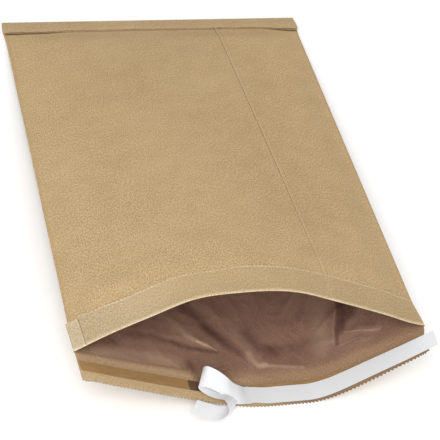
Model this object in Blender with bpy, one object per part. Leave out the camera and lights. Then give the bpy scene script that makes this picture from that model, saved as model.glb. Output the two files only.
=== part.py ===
"""A padded kraft envelope lying on its back, its mouth open and its release liner half peeled.

Metres. +Z is up, +Y runs to the closed end and the mouth faces -Y. The origin is on the floor, under
the middle of the box round all pieces. The envelope is a flattened tube: a kraft ply outside, a mat of
padding in each wall and a kraft ply inside. Every layer is an offset of one lens-shaped section, which
is flat at the closed end and open at the mouth, and whose two panels keep the flat envelope's width.
"""

import math

import bmesh
import bpy
from mathutils import Vector

# The envelope pressed flat
WIDTH = 0.3175
LENGTH = 0.4826  # from the fold of the closed end to the fold of the mouth
LIP_LENGTH = 0.030  # back panel past the mouth
CUFF_WIDTH = 0.031  # front panel turned back over itself at the mouth
FLAP_WIDTH = 0.0185  # end of the tube turned over the front at the closed end

# Plies and padding
PLY = 0.0002
GAP = 0.0003  # between layers that touch
CAVITY = 0.0002  # half of the hollow where the envelope is pressed flat
CAVITY_CLOSED = 0.00015  # the same at the closed end, where there is no inner ply
PAD_THICKNESS = 0.0022
PAD_RIM = 0.0001
PAD_SIDE_MARGIN = 0.004
PAD_SIDE_RAMP = 0.030
PAD_END_MARGIN = 0.016
PAD_END_RAMP = 0.030
PAD_MOUTH_MARGIN = 0.005
PAD_MOUTH_RAMP = 0.014
THIN_SHARE = 0.75  # part of the bottom flap's width along which the closed end has no inner ply

# The open mouth
CREASE_RISE = 0.048  # side creases above the floor at the mouth
RISE_START = 0.020  # distance from the closed end where the creases leave the floor
PADDED_DRAW = 0.0043  # width that the thickness of the padding takes up
DRAW_RUN = 0.040
CORNER_FLARE = 0.0024  # the right corner of the mouth stands out
CORNER_FLARE_SHARE = 0.12
LIP_DRAW = 0.003  # the lip is cut this much narrower at its end
LIP_FLARE_RUN = 0.012
CROWN_SKEW = 0.889  # moves the crown of the front off the middle
CROWN_POWER = 1.15
FLOOR_LEFT = 0.503  # part of the back that lies on the floor, as shares of the width
FLOOR_RIGHT = 0.664
LEFT_BEND = 0.14  # how softly each flank leaves the floor
RIGHT_BEND = 0.24

# Overlap seam of the outer ply, along the front
SEAM_FROM_LEFT = 0.2259
SEAM_OVERLAP = 0.012
SEAM_STEP = 0.0003
SEAM_SHOULDER = 0.003

# Cuff and bottom flap
FOLD_STEPS = 4
FOLD_SHIFT = 0.3  # part of the outward lean of the cuff's left end that is reached at the fold
TAB_WIDTH = 0.0110  # loose strip at the left end of the cuff
TAB_SLIT = 0.0005
TAB_SHORTER = 0.0026
TAB_LIFT = 0.0003
CUFF_LEAN = 0.0028  # the left end of the cuff leans outward, over the side crease
CUFF_LEAN_RUN = 0.036
CUFF_LIFT = 0.0005
FLAP_LEFT_LOOSE = 0.070  # reach of the loose ends of the flap
FLAP_RIGHT_LOOSE = 0.034
FLAP_LEFT_LIFT = 0.0014
FLAP_RIGHT_LIFT = 0.0024
FLAP_LIFT_POWER = 1.5

# Serrated cut of the lip and the cuff
TOOTH_PITCH = 0.0032
TOOTH_DEPTH = 0.0012
TOOTH_ROOT = 0.001  # plain strip under the teeth of the cuff

# The two cuts aren't quite straight: how much further they reach, at shares of the width
LIP_REACH = (
    (0.0, 0.0018), (0.035, 0.0), (0.42, -0.0005), (0.56, 0.0020), (0.74, 0.0018), (0.93, -0.0003),
    (1.0, -0.0008),
)
CUFF_REACH = (
    (0.0, 0.0035), (0.036, 0.0033), (0.075, 0.0), (0.14, -0.0018), (0.29, 0.0), (0.38, -0.0020),
    (0.47, 0.0), (1.0, 0.0),
)

# Closure on the lip
ADHESIVE_FROM_MOUTH = 0.0092
ADHESIVE_WIDTH = 0.0102
ADHESIVE_THICKNESS = 0.00015
ADHESIVE_SIDE_MARGIN = 0.001
INNER_PLY_SHORT = 0.003  # inner ply stops this far from the lip's edge
INNER_MOUTH_SHORT = 0.0004  # and this far from the fold of the mouth
LINER_FROM_MOUTH = 0.0088
LINER_WIDTH = 0.018
LINER_THICKNESS = 0.00016
LINER_OVERHANG = 0.0052  # past the right end of the lip
PEEL_AT = 0.50  # share of the lip's width where the liner leaves the adhesive
PEEL_CLEARANCE = 0.01  # no column of the lip is used closer to it than this share
PEEL_STEPS = 3  # points between two stations of the curl

# The peeled end of the liner, by the middle of its width. Each station gives its place to the right of
# and behind the peel point and its height above the lip there in metres, then the heading of the width
# from straight across the lip and its tilt, both in degrees.
CURL = (
    (-0.0090, -0.0020, 0.0044, 8, -4),
    (-0.0155, -0.0014, 0.0053, 6, -16),
    (-0.0216, 0.0004, 0.0077, 5, -26),
    (-0.0293, 0.0030, 0.0098, 5, -30),
    (-0.0368, 0.0065, 0.0097, 7, -25),
    (-0.0421, 0.0090, 0.0060, 21, -7),
    (-0.0405, 0.0056, 0.0046, 26, -2),
    (-0.0345, 0.0012, 0.0040, 28, 3),
    (-0.0274, -0.0030, 0.0043, 30, 14),
    (-0.0220, -0.0075, 0.0060, 35, 28),
    (-0.0190, -0.0133, 0.0055, 40, 27),
    (-0.0196, -0.0186, 0.0049, 38, 20),
    (-0.0253, -0.0222, 0.0027, 33, 18),
    (-0.0334, -0.0227, 0.0010, 28, 10),
    (-0.0437, -0.0218, 0.0013, 26, 9),
    (-0.0537, -0.0201, 0.0021, 31, 11),
)

# Grid of the panels
PANEL_STEPS = 14
CREASE_STEPS = 4
FLAP_STEPS = 4
CUFF_STEPS = 3
RAMP_SHARES = (0.35, 0.80)  # rows between the bottom flap and the full thickness of the padding
BODY_SHARES = (0.0, 0.10, 0.22, 0.36, 0.51, 0.66, 0.81, 0.94)  # rows from there to the cuff
COLUMN_CLEARANCE = 0.3  # a plain column this close to a marked one is left out, as part of the spacing
ROUNDING = 1e-9

# Accuracy of the section
PROFILE_STEPS = 80
SOLVE_STEPS = 40
NORMAL_STEP = 0.002
EDGE_STEP = 0.005
SHARP_ANGLE = 50  # degrees

KRAFT = (0.50, 0.36, 0.19)
KRAFT_LIGHT = (0.55, 0.41, 0.24)
PADDING_GREY = (0.42, 0.38, 0.33)
ADHESIVE_AMBER = (0.40, 0.24, 0.10)
LINER_WHITE = (0.82, 0.82, 0.83)


def smooth(x):
    x = min(max(x, 0.0), 1.0)
    return x * x * (3 - 2 * x)


def mix(a, b, k):
    return a + (b - a) * k


def pad_depth(t, d):
    """Thickness of the padding at the share t of the width and the distance d."""
    side = min(t, 1 - t) * WIDTH - PAD_SIDE_MARGIN
    across = smooth(side / PAD_SIDE_RAMP)
    closed = smooth((d - PAD_END_MARGIN) / PAD_END_RAMP)
    mouth = smooth((LENGTH - PAD_MOUTH_MARGIN - d) / PAD_MOUTH_RAMP)
    return PAD_RIM + (PAD_THICKNESS - PAD_RIM) * across * closed * mouth


def half_thickness(t, d):
    """Distance from the section's middle line to the outer face."""
    thin = CAVITY_CLOSED + PLY
    full = CAVITY + 2 * PLY + 2 * GAP + pad_depth(t, d)
    return mix(thin, full, smooth(d / (THIN_SHARE * FLAP_WIDTH)))


def soft_ramp(x, bend):
    """Rise from 0 to 1 that starts level."""
    return (math.hypot(x, bend) - bend) / (math.hypot(1.0, bend) - bend)


def floor_profile(t):
    """Shape of the back: flat on the floor in the middle, rising to the creases."""
    if t < FLOOR_LEFT:
        return soft_ramp((FLOOR_LEFT - t) / FLOOR_LEFT, LEFT_BEND)
    if t > FLOOR_RIGHT:
        return soft_ramp((t - FLOOR_RIGHT) / (1 - FLOOR_RIGHT), RIGHT_BEND)
    return 0.0


def crown_profile(t):
    """Shape of the front: one arch from crease to crease."""
    return max(math.sin(math.pi * t ** CROWN_SKEW), 0.0) ** CROWN_POWER


def arc_length(profile, height, chord):
    heights = [height * profile(i / PROFILE_STEPS) for i in range(PROFILE_STEPS + 1)]
    return sum(math.hypot(chord / PROFILE_STEPS, b - a) for a, b in zip(heights, heights[1:]))


def solve(function, target, low, high):
    """The argument between low and high at which a growing function reaches the target."""
    for _ in range(SOLVE_STEPS):
        middle = (low + high) / 2
        if function(middle) < target:
            low = middle
        else:
            high = middle
    return (low + high) / 2


# At the mouth each panel still has its full width, which gives the chord and the crown
MOUTH_CHORD = solve(lambda chord: arc_length(floor_profile, CREASE_RISE, chord), WIDTH - PADDED_DRAW,
                    WIDTH / 2, WIDTH)
MOUTH_CROWN = solve(lambda crown: arc_length(crown_profile, crown, MOUTH_CHORD), WIDTH - PADDED_DRAW,
                    0.0, WIDTH / 2)


def section(d):
    """Height of the creases, chord between them and rise of the crown at a distance d from the closed end.

    The creases are straight, so all three grow evenly towards the mouth.
    """
    opened = max(d - RISE_START, 0.0) / (LENGTH - RISE_START)
    padded = WIDTH - PADDED_DRAW * smooth(d / DRAW_RUN)
    on_lip = max(d - LENGTH, 0.0) / LIP_LENGTH
    chord = padded - (WIDTH - PADDED_DRAW - MOUTH_CHORD) * opened - LIP_DRAW * on_lip
    return CREASE_RISE * opened, chord, MOUTH_CROWN * opened


def flare(t, d):
    """Shift to the right of the mouth's right corner."""
    cuffed = smooth((d - LENGTH + CUFF_WIDTH) / CUFF_WIDTH)
    gone = smooth((d - LENGTH) / LIP_FLARE_RUN)
    return CORNER_FLARE * cuffed * (1 - gone) * smooth((t - 1 + CORNER_FLARE_SHARE) / CORNER_FLARE_SHARE)


def middle_line(side, t, d):
    """Point (x, z) of the section's middle line; side is front or back."""
    height, chord, crown = section(d)
    half = half_thickness(t, d)
    if side == "front":
        z = height + crown * crown_profile(t)
    else:
        z = height * floor_profile(t)
    return chord * (t - 0.5) + flare(t, d), z + half


def along(side, t, d):
    """Place along Y of a point of the panel: a raised line keeps its length, so its end draws back."""
    if side == "front":
        rise = CREASE_RISE + MOUTH_CROWN * crown_profile(t)
    else:
        rise = CREASE_RISE * floor_profile(t)
    return LENGTH - d * math.sqrt(1 - (rise / LENGTH) ** 2)


def outward(side, t, d):
    """Unit normal (x, z) of the section's middle line, pointing out of the envelope."""
    low = max(t - NORMAL_STEP, 0.0)
    high = min(t + NORMAL_STEP, 1.0)
    ax, az = middle_line(side, low, d)
    bx, bz = middle_line(side, high, d)
    size = math.hypot(bx - ax, bz - az)
    nx, nz = -(bz - az) / size, (bx - ax) / size
    return (nx, nz) if side == "front" else (-nx, -nz)


def panel_point(side, t, d, depth):
    """Point of a panel, depth below its outer face."""
    x, z = middle_line(side, t, d)
    nx, nz = outward(side, t, d)
    reach = half_thickness(t, d) - depth
    return Vector((x + nx * reach, along(side, t, d), z + nz * reach))


def crease_point(right, turn, d, depth):
    """Point of a side crease. The turn goes from the back at 0 to the front at 1."""
    t = 1.0 if right else 0.0
    x, z = middle_line("back", t, d)
    bx, bz = outward("back", t, d)
    fx, fz = outward("front", t, d)
    start = math.atan2(bz, bx)
    end = math.atan2(fz, fx)
    if not right:
        start += 2 * math.pi
    angle = mix(start, end, turn)
    reach = half_thickness(t, d) - depth
    return Vector((x + math.cos(angle) * reach, along("back", t, d), z + math.sin(angle) * reach))


def seam_height(t):
    """Extra thickness where the outer ply overlaps itself."""
    past = t * WIDTH - SEAM_FROM_LEFT
    if past < SEAM_STEP / 2:
        return 0.0
    return PLY * (1 - smooth((past - SEAM_OVERLAP + SEAM_SHOULDER) / SEAM_SHOULDER))


def panel_shares(extra=()):
    """Columns of a panel, as shares of the width."""
    margin = PAD_SIDE_MARGIN / WIDTH
    ramp = PAD_SIDE_RAMP / WIDTH
    inner = margin + ramp
    left = [0.0, margin, margin + ramp / 2]
    middle = [mix(inner, 1 - inner, i / PANEL_STEPS) for i in range(PANEL_STEPS + 1)]
    right = [1 - t for t in reversed(left)]
    clear = COLUMN_CLEARANCE * (middle[1] - middle[0])
    kept = [t for t in middle if all(abs(t - mark) > clear for mark in extra)]
    return sorted(left + kept + right + list(extra))


FRONT_MARKS = (
    (TAB_WIDTH - TAB_SLIT / 2) / WIDTH,
    (TAB_WIDTH + TAB_SLIT / 2) / WIDTH,
    SEAM_FROM_LEFT / WIDTH,
    (SEAM_FROM_LEFT + SEAM_STEP) / WIDTH,
    (SEAM_FROM_LEFT + SEAM_OVERLAP - SEAM_SHOULDER) / WIDTH,
    (SEAM_FROM_LEFT + SEAM_OVERLAP) / WIDTH,
)
FRONT_SHARES = panel_shares(FRONT_MARKS)
BACK_SHARES = panel_shares((FLOOR_LEFT, FLOOR_RIGHT))


def loop_columns():
    """Columns round the tube: front left to right, right crease, back right to left, left crease."""
    columns = [("front", t) for t in FRONT_SHARES]
    columns += [("right", 1 - i / CREASE_STEPS) for i in range(1, CREASE_STEPS)]
    columns += [("back", t) for t in reversed(BACK_SHARES)]
    columns += [("left", i / CREASE_STEPS) for i in range(1, CREASE_STEPS)]
    return columns


def loop_point(column, d, depth):
    place, value = column
    if place in ("front", "back"):
        return panel_point(place, value, d, depth)
    return crease_point(place == "right", value, d, depth)


def column_share(column):
    place, value = column
    if place in ("front", "back"):
        return value
    return 1.0 if place == "right" else 0.0


class Sheet:
    """A sheet of faces with two skins, made solid by walls along its free edges."""

    def __init__(self):
        self.outer = []
        self.inner = []
        self.faces = []

    def point(self, outer, inner):
        self.outer.append(Vector(outer))
        self.inner.append(Vector(inner))
        return len(self.outer) - 1

    def row(self, pairs):
        return [self.point(a, b) for a, b in pairs]

    def join(self, first, second, closed=False, skip=(), other_way=False):
        """Triangles between two rows. Layers over each other are split the same way, so they stay apart."""
        count = len(first)
        for i in range(count if closed else count - 1):
            j = (i + 1) % count
            if i in skip:
                continue
            if other_way:
                self.faces.append((first[i], first[j], second[i]))
                self.faces.append((first[j], second[j], second[i]))
            else:
                self.faces.append((first[i], first[j], second[j]))
                self.faces.append((first[i], second[j], second[i]))

    def build(self, name, colour, roughness):
        mesh = bpy.data.meshes.new(name)
        count = len(self.outer)
        faces = list(self.faces)
        faces += [tuple(i + count for i in reversed(face)) for face in self.faces]
        edges = {}
        for face in self.faces:
            for a, b in zip(face, face[1:] + face[:1]):
                edges[(a, b)] = edges.get((a, b), 0) + 1
        for a, b in edges:
            if (b, a) not in edges:
                faces.append((b, a, a + count, b + count))
        mesh.from_pydata([tuple(p) for p in self.outer + self.inner], [], faces)
        tidy = bmesh.new()
        tidy.from_mesh(mesh)
        loose = [v for v in tidy.verts if not v.link_faces]
        bmesh.ops.delete(tidy, geom=loose, context="VERTS")
        bmesh.ops.recalc_face_normals(tidy, faces=tidy.faces)
        if tidy.calc_volume(signed=True) < 0:
            bmesh.ops.reverse_faces(tidy, faces=tidy.faces)
        tidy.to_mesh(mesh)
        tidy.free()
        mesh.shade_smooth()
        mesh.set_sharp_from_angle(angle=math.radians(SHARP_ANGLE))
        piece = bpy.data.objects.new(name, mesh)
        bpy.context.collection.objects.link(piece)
        mesh.materials.append(material(name, colour, roughness))
        return piece


def material(name, colour, roughness):
    made = bpy.data.materials.new(name)
    made.use_nodes = True
    shader = made.node_tree.nodes["Principled BSDF"]
    shader.inputs["Base Color"].default_value = (*colour, 1.0)
    shader.inputs["Roughness"].default_value = roughness
    shader.inputs["Metallic"].default_value = 0.0
    return made


def saw_row(sheet, row, ends, toothed):
    """A serrated strip from a row of points to the cut. Each span of the row gets whole teeth.

    ends holds, for each point of the row, the pairs of the valley line and of the tip line.
    """
    valley_row = sheet.row([end[0] for end in ends])
    for i in range(len(row) - 1):
        (va, ta), (vb, tb) = ends[i], ends[i + 1]
        span = (Vector(vb[0]) - Vector(va[0])).length
        teeth = round(span / TOOTH_PITCH) if toothed(i) else 0
        cut = [valley_row[i]]
        for k in range(teeth):
            if k:
                share = k / teeth
                cut.append(sheet.point(va[0].lerp(vb[0], share), va[1].lerp(vb[1], share)))
            share = (k + 0.5) / teeth
            cut.append(sheet.point(ta[0].lerp(tb[0], share), ta[1].lerp(tb[1], share)))
        cut.append(valley_row[i + 1])
        if toothed(i) is not None:
            sheet.faces.append((row[i], row[i + 1], *reversed(cut)))


def fold_back(start, forward, up, radius, angle):
    """Point on a fold: it leaves start along forward and turns over towards up."""
    return start + forward * (radius * math.sin(angle)) + up * (radius * (1 - math.cos(angle)))


def outer_wrapper():
    """The outer ply: one sheet with its seam, bottom flap, cuff and lip."""
    sheet = Sheet()
    columns = loop_columns()
    front_count = len(FRONT_SHARES)
    back_start = front_count + CREASE_STEPS - 1
    back_end = back_start + len(BACK_SHARES)
    rows_at = flap_rows() + body_rows() + cuff_rows()

    def skins(column, d):
        extra = seam_height(column[1]) if column[0] == "front" else 0.0
        return loop_point(column, d, -extra), loop_point(column, d, PLY)

    rows = [sheet.row([skins(column, d) for column in columns]) for d in rows_at]
    for first, second in zip(rows, rows[1:]):
        sheet.join(first, second, closed=True)
    bottom_flap(sheet, columns, rows[0])
    mouth = rows[-1]
    cuff(sheet, mouth[:front_count])
    lip(sheet, mouth[back_start:back_end])
    return sheet.build("outer_wrapper", KRAFT, 0.8)


def flap_rows():
    """Rows under the bottom flap, by their distance from the closed end."""
    return [FLAP_WIDTH * i / FLAP_STEPS for i in range(FLAP_STEPS + 1)]


def body_rows():
    """Rows of the body between the bottom flap and the cuff."""
    ramp_end = PAD_END_MARGIN + PAD_END_RAMP
    rows = [mix(FLAP_WIDTH, ramp_end, share) for share in RAMP_SHARES]
    return rows + [mix(ramp_end, LENGTH - CUFF_WIDTH, share) for share in BODY_SHARES]


def cuff_rows():
    """Rows under the cuff, from its cut to the mouth."""
    cut = LENGTH - CUFF_WIDTH + TOOTH_DEPTH + TOOTH_ROOT
    return [mix(cut, LENGTH, i / CUFF_STEPS) for i in range(CUFF_STEPS + 1)]


def lip_rows():
    """Rows of the lip between the mouth and the serrated cut."""
    return [LENGTH + ADHESIVE_FROM_MOUTH, LENGTH + LIP_LENGTH - INNER_PLY_SHORT]


def flap_lift(t):
    left = 1 - smooth(t * WIDTH / FLAP_LEFT_LOOSE)
    right = 1 - smooth((1 - t) * WIDTH / FLAP_RIGHT_LOOSE)
    return FLAP_LEFT_LIFT * left + FLAP_RIGHT_LIFT * right


def bottom_flap(sheet, columns, fold_row):
    """The end of the tube, turned over the front. Both of its plies go round the fold."""
    fold_height = loop_point(("front", 0.5), 0.0, 0.0).z
    axis = fold_height + GAP / 2
    previous = fold_row
    forward = Vector((0, 1, 0))

    def turned(column, angle):
        pair = []
        for depth in (0.0, PLY):
            start = loop_point(column, 0.0, depth)
            radius = axis - start.z
            pair.append(fold_back(start, forward, Vector((0, 0, 1)), radius, angle))
        return pair

    for i in range(1, FOLD_STEPS + 1):
        row = sheet.row([turned(column, math.pi * i / FOLD_STEPS) for column in columns])
        sheet.join(row, previous, closed=True)
        previous = row
    for d in flap_rows()[1:]:
        pairs = []
        for column in columns:
            t = column_share(column)
            under = panel_point("front", t, d, -seam_height(t))
            lift = flap_lift(t) * (d / FLAP_WIDTH) ** FLAP_LIFT_POWER
            base = under.z + GAP + lift
            pair = []
            for depth in (0.0, PLY):
                start = loop_point(column, 0.0, depth)
                pair.append(Vector((start.x, under.y, base + fold_height - start.z)))
            pairs.append(pair)
        row = sheet.row(pairs)
        sheet.join(row, previous, closed=True, other_way=True)
        previous = row


def reach(cut, t):
    """How much further a cut reaches at the share t of the width."""
    for (a, low), (b, high) in zip(cut, cut[1:]):
        if t <= b:
            return mix(low, high, smooth((t - a) / (b - a)))
    return cut[-1][1]


def leaned_point(t, d, depth, lean):
    """Point of the front, moved outward by the lean. Past the crease it runs on level."""
    place = t - lean / WIDTH
    point = panel_point("front", max(place, 0.0), d, depth)
    return point + Vector((min(place, 0.0) * WIDTH, 0, 0))


def cuff(sheet, mouth_row):
    """The front turned back over itself, with a serrated edge and a loose tab at its left end."""
    slit = FRONT_SHARES.index(FRONT_MARKS[0])
    previous = mouth_row
    normals = []
    for t in FRONT_SHARES:
        nx, nz = outward("front", t, LENGTH)
        normals.append(Vector((nx, 0, nz)))

    def lean(i):
        return CUFF_LEAN * (1 - smooth((FRONT_SHARES[i] * WIDTH - TAB_WIDTH) / (CUFF_LEAN_RUN - TAB_WIDTH)))

    forward = Vector((0, -1, 0))
    for step in range(1, FOLD_STEPS + 1):
        angle = math.pi * step / FOLD_STEPS
        pairs = []
        for i, t in enumerate(FRONT_SHARES):
            leaned = lean(i) * FOLD_SHIFT * step / FOLD_STEPS
            outer = leaned_point(t, LENGTH, -seam_height(t), leaned)
            inner = leaned_point(t, LENGTH, PLY, leaned)
            thickness = PLY + seam_height(t)
            radius = GAP / 2
            pairs.append((
                fold_back(outer, forward, normals[i], radius, angle),
                fold_back(inner, forward, normals[i], radius + thickness, angle),
            ))
        row = sheet.row(pairs)
        sheet.join(previous, row)
        previous = row

    def laid(i, d, shorter):
        t = FRONT_SHARES[i]
        back = (LENGTH - d) / CUFF_WIDTH
        lift = (CUFF_LIFT if i > slit else TAB_LIFT) * min(back, 1.0)
        seam = seam_height(t)
        place = d + shorter * back
        leaned = lean(i) * mix(FOLD_SHIFT, 1.0, back)
        under = leaned_point(t, place, -seam - GAP - lift, leaned)
        over = leaned_point(t, place, -2 * seam - GAP - lift - PLY, leaned)
        return under, over

    columns = []
    for i, t in enumerate(FRONT_SHARES):
        columns.append((i, (TAB_SHORTER if i <= slit else 0.0) - reach(CUFF_REACH, t)))
    for d in reversed(cuff_rows()[:-1]):
        row = sheet.row([laid(i, d, shorter) for i, shorter in columns])
        sheet.join(previous, row, skip=(slit,), other_way=True)
        previous = row
    cut = LENGTH - CUFF_WIDTH
    ends = [(laid(i, cut + TOOTH_DEPTH, shorter), laid(i, cut, shorter)) for i, shorter in columns]
    saw_row(sheet, previous, ends, lambda i: None if i == slit else True)


def lip(sheet, mouth_row):
    """The back past the mouth, ending in the serrated cut."""
    shares = list(reversed(BACK_SHARES))

    def skins(t, d):
        return panel_point("back", t, d, 0.0), panel_point("back", t, d, PLY)

    previous = mouth_row
    for d in lip_rows():
        row = sheet.row([skins(t, d) for t in shares])
        sheet.join(previous, row)
        previous = row
    ends = []
    for t in shares:
        end = LENGTH + LIP_LENGTH + reach(LIP_REACH, t)
        ends.append((skins(t, end - TOOTH_DEPTH), skins(t, end)))
    saw_row(sheet, previous, ends, lambda i: True)


def inner_depth(t, d):
    """Depth of the inner ply's outer face. On the lip it comes down onto the outer ply."""
    walled = PLY + 2 * GAP + pad_depth(t, d)
    return mix(walled, PLY + GAP, smooth((d - LENGTH) / ADHESIVE_FROM_MOUTH))


def inner_liner():
    """The inner ply: a tube inside the padding, whose back runs on over the lip."""
    sheet = Sheet()
    columns = loop_columns()
    front_count = len(FRONT_SHARES)
    back_start = front_count + CREASE_STEPS - 1
    back_end = back_start + len(BACK_SHARES)
    first_rows = [d for d in flap_rows() if d >= THIN_SHARE * FLAP_WIDTH - ROUNDING]
    rows_at = first_rows + body_rows() + cuff_rows()
    rows_at[-1] = LENGTH - INNER_MOUTH_SHORT

    def skins(column, d):
        depth = inner_depth(column_share(column), d)
        return loop_point(column, d, depth), loop_point(column, d, depth + PLY)

    rows = [sheet.row([skins(column, d) for column in columns]) for d in rows_at]
    for first, second in zip(rows, rows[1:]):
        sheet.join(first, second, closed=True)
    previous = rows[-1][back_start:back_end]
    for d in lip_rows():
        row = sheet.row([skins(("back", t), d) for t in reversed(BACK_SHARES)])
        sheet.join(previous, row)
        previous = row
    return sheet.build("inner_liner", KRAFT_LIGHT, 0.85)


def padding(side, name):
    """The mat of padding in one wall, thin at its rim."""
    sheet = Sheet()
    margin = PAD_SIDE_MARGIN / WIDTH - ROUNDING
    order = FRONT_SHARES if side == "front" else list(reversed(BACK_SHARES))
    shares = [t for t in order if margin <= t <= 1 - margin]
    rows_at = [FLAP_WIDTH] + body_rows() + cuff_rows()[:-1]
    previous = None
    for d in rows_at:
        pairs = []
        for t in shares:
            top = PLY + GAP
            pairs.append((panel_point(side, t, d, top), panel_point(side, t, d, top + pad_depth(t, d))))
        row = sheet.row(pairs)
        if previous:
            sheet.join(previous, row)
        previous = row
    return sheet.build(name, PADDING_GREY, 0.95)


def lip_surface(t, from_mouth, height):
    """Point above the inner ply of the lip; past its ends the surface runs on straight."""
    inside = min(max(t, 0.0), 1.0)
    depth = inner_depth(inside, LENGTH + from_mouth) + PLY
    base = panel_point("back", inside, LENGTH + from_mouth, depth + height)
    if t > 1.0:
        back = panel_point("back", 1.0 - EDGE_STEP, LENGTH + from_mouth, depth + height)
        base = base + (base - back).normalized() * ((t - 1.0) * WIDTH)
    return base


def lip_height(x, y):
    """Height of the inner ply of the lip under a place, or of the lip's nearest place."""
    from_mouth = min(max(-y, 0.0), LIP_LENGTH)
    chord = section(LENGTH + from_mouth)[1]
    return lip_surface(min(max(x / chord + 0.5, 0.0), 1.0), from_mouth, 0.0).z


def adhesive_strip():
    """The film of glue across the lip."""
    sheet = Sheet()
    margin = ADHESIVE_SIDE_MARGIN / WIDTH
    shares = [1 - margin] + [t for t in reversed(BACK_SHARES) if 2 * margin < t < 1 - 2 * margin] + [margin]
    previous = None
    for from_mouth in (ADHESIVE_FROM_MOUTH, ADHESIVE_FROM_MOUTH + ADHESIVE_WIDTH):
        pairs = [(lip_surface(t, from_mouth, GAP), lip_surface(t, from_mouth, GAP + ADHESIVE_THICKNESS))
                 for t in shares]
        row = sheet.row(pairs)
        if previous:
            sheet.join(previous, row)
        previous = row
    return sheet.build("adhesive_strip", ADHESIVE_AMBER, 0.35)


def between(stations, i, k):
    """Value on a smooth curve through the stations, at the share k past station i."""
    a, b, c, d = (stations[min(max(j, 0), len(stations) - 1)] for j in (i - 1, i, i + 1, i + 2))
    bend = 2 * a - 5 * b + 4 * c - d
    twist = 3 * b - a - 3 * c + d
    return (2 * b + (c - a) * k + bend * k ** 2 + twist * k ** 3) / 2


def liner_stations():
    """Middle of the release liner and half of its width, from the overhanging end to the free end."""
    height = 2 * GAP + ADHESIVE_THICKNESS + LINER_THICKNESS / 2
    near = LINER_FROM_MOUTH + LINER_WIDTH
    shares = [1 + LINER_OVERHANG / WIDTH, 1.0]
    shares += [t for t in reversed(BACK_SHARES) if PEEL_AT + PEEL_CLEARANCE < t < 1]
    shares.append(PEEL_AT)
    stations = []
    for t in shares:
        far_edge = lip_surface(t, LINER_FROM_MOUTH, height)
        near_edge = lip_surface(t, near, height)
        stations.append(((far_edge + near_edge) / 2, (near_edge - far_edge) / 2))
    peel = stations[-1][0]
    lying = len(stations)
    for right, behind, height, heading, tilt in CURL:
        x = peel.x + right
        y = peel.y + behind
        turn = math.radians(heading)
        rise = math.radians(tilt)
        across = Vector((-math.sin(turn) * math.cos(rise), -math.cos(turn) * math.cos(rise), math.sin(rise)))
        stations.append((Vector((x, y, lip_height(x, y) + height)), across * (LINER_WIDTH / 2)))
    middles = [station[0] for station in stations]
    halves = [station[1] for station in stations]
    route = stations[:lying]
    for i in range(lying - 1, len(stations) - 1):
        for step in range(1, PEEL_STEPS + 1):
            k = step / PEEL_STEPS
            half = between(halves, i, k).normalized() * (LINER_WIDTH / 2)
            route.append((between(middles, i, k), half))
    return route


def release_liner():
    """The ribbon over the adhesive, peeled from the left and rolled over on itself."""
    sheet = Sheet()
    route = liner_stations()
    previous = None
    for i, (middle, half) in enumerate(route):
        before = route[max(i - 1, 0)][0]
        after = route[min(i + 1, len(route) - 1)][0]
        normal = half.cross(after - before).normalized() * (LINER_THICKNESS / 2)
        pairs = [(middle + half * k + normal, middle + half * k - normal) for k in (-1.0, 0.0, 1.0)]
        row = sheet.row(pairs)
        if previous:
            sheet.join(previous, row)
        previous = row
    return sheet.build("release_liner", LINER_WHITE, 0.4)


def centre(pieces):
    """Put the origin on the floor, under the middle of the box round the pieces."""
    points = [v.co for piece in pieces for v in piece.data.vertices]
    low = [min(p[axis] for p in points) for axis in range(3)]
    high = [max(p[axis] for p in points) for axis in range(3)]
    shift = Vector(((low[0] + high[0]) / 2, (low[1] + high[1]) / 2, low[2]))
    for piece in pieces:
        for v in piece.data.vertices:
            v.co = v.co - shift


def main():
    for old in list(bpy.data.objects):
        bpy.data.objects.remove(old, do_unlink=True)
    pieces = [
        outer_wrapper(),
        inner_liner(),
        padding("front", "front_padding"),
        padding("back", "back_padding"),
        adhesive_strip(),
        release_liner(),
    ]
    centre(pieces)


main()
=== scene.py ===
import math

import bmesh
import bpy
from mathutils import Matrix, Vector, noise


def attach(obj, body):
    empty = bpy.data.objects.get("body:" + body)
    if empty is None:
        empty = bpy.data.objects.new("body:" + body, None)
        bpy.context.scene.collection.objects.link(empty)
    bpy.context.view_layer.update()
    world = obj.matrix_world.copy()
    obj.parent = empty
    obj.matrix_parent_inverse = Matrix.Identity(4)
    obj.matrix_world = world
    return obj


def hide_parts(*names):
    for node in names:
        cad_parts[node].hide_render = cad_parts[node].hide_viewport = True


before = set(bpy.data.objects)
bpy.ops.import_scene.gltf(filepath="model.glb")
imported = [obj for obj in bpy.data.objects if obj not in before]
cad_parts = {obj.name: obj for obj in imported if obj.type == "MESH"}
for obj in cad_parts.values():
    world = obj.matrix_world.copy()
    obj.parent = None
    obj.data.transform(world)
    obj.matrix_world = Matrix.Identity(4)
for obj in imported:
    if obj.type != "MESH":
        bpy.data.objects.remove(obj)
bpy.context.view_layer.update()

# Sizes of the CAD model, in metres. y is counted from the fold of the mouth here, and SHIFT brings it into
# the model's frame.
SHIFT = Vector((0.0, -0.21756, 0.0))
WIDTH, LENGTH, LIP, CUFF, FLAP = 0.3175, 0.4826, 0.030, 0.031, 0.0185
PLY, GAP, CAVITY, CAVITY_CLOSED = 0.0002, 0.0003, 0.0002, 0.00015
# Thickness of the padding at its rim and what it gains inside, and the run over which it gains that
PAD_RIM, PAD_GAIN, PAD_RUN, PAD_MOUTH_RUN = 0.0001, 0.0021, 0.030, 0.050
# Height of the corners of the open mouth and where it starts, and how much the padding and the lip's cut
# take off the width
RISE, RISE_START, DRAW, DRAW_RUN, LIP_DRAW = 0.048, 0.020, 0.0043, 0.040, 0.003
# The back is flat between two shares of the width and bends up softly beside them
FLOOR_LEFT, FLOOR_RIGHT, LEFT_BEND, RIGHT_BEND = 0.503, 0.664, 0.14, 0.24
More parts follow.
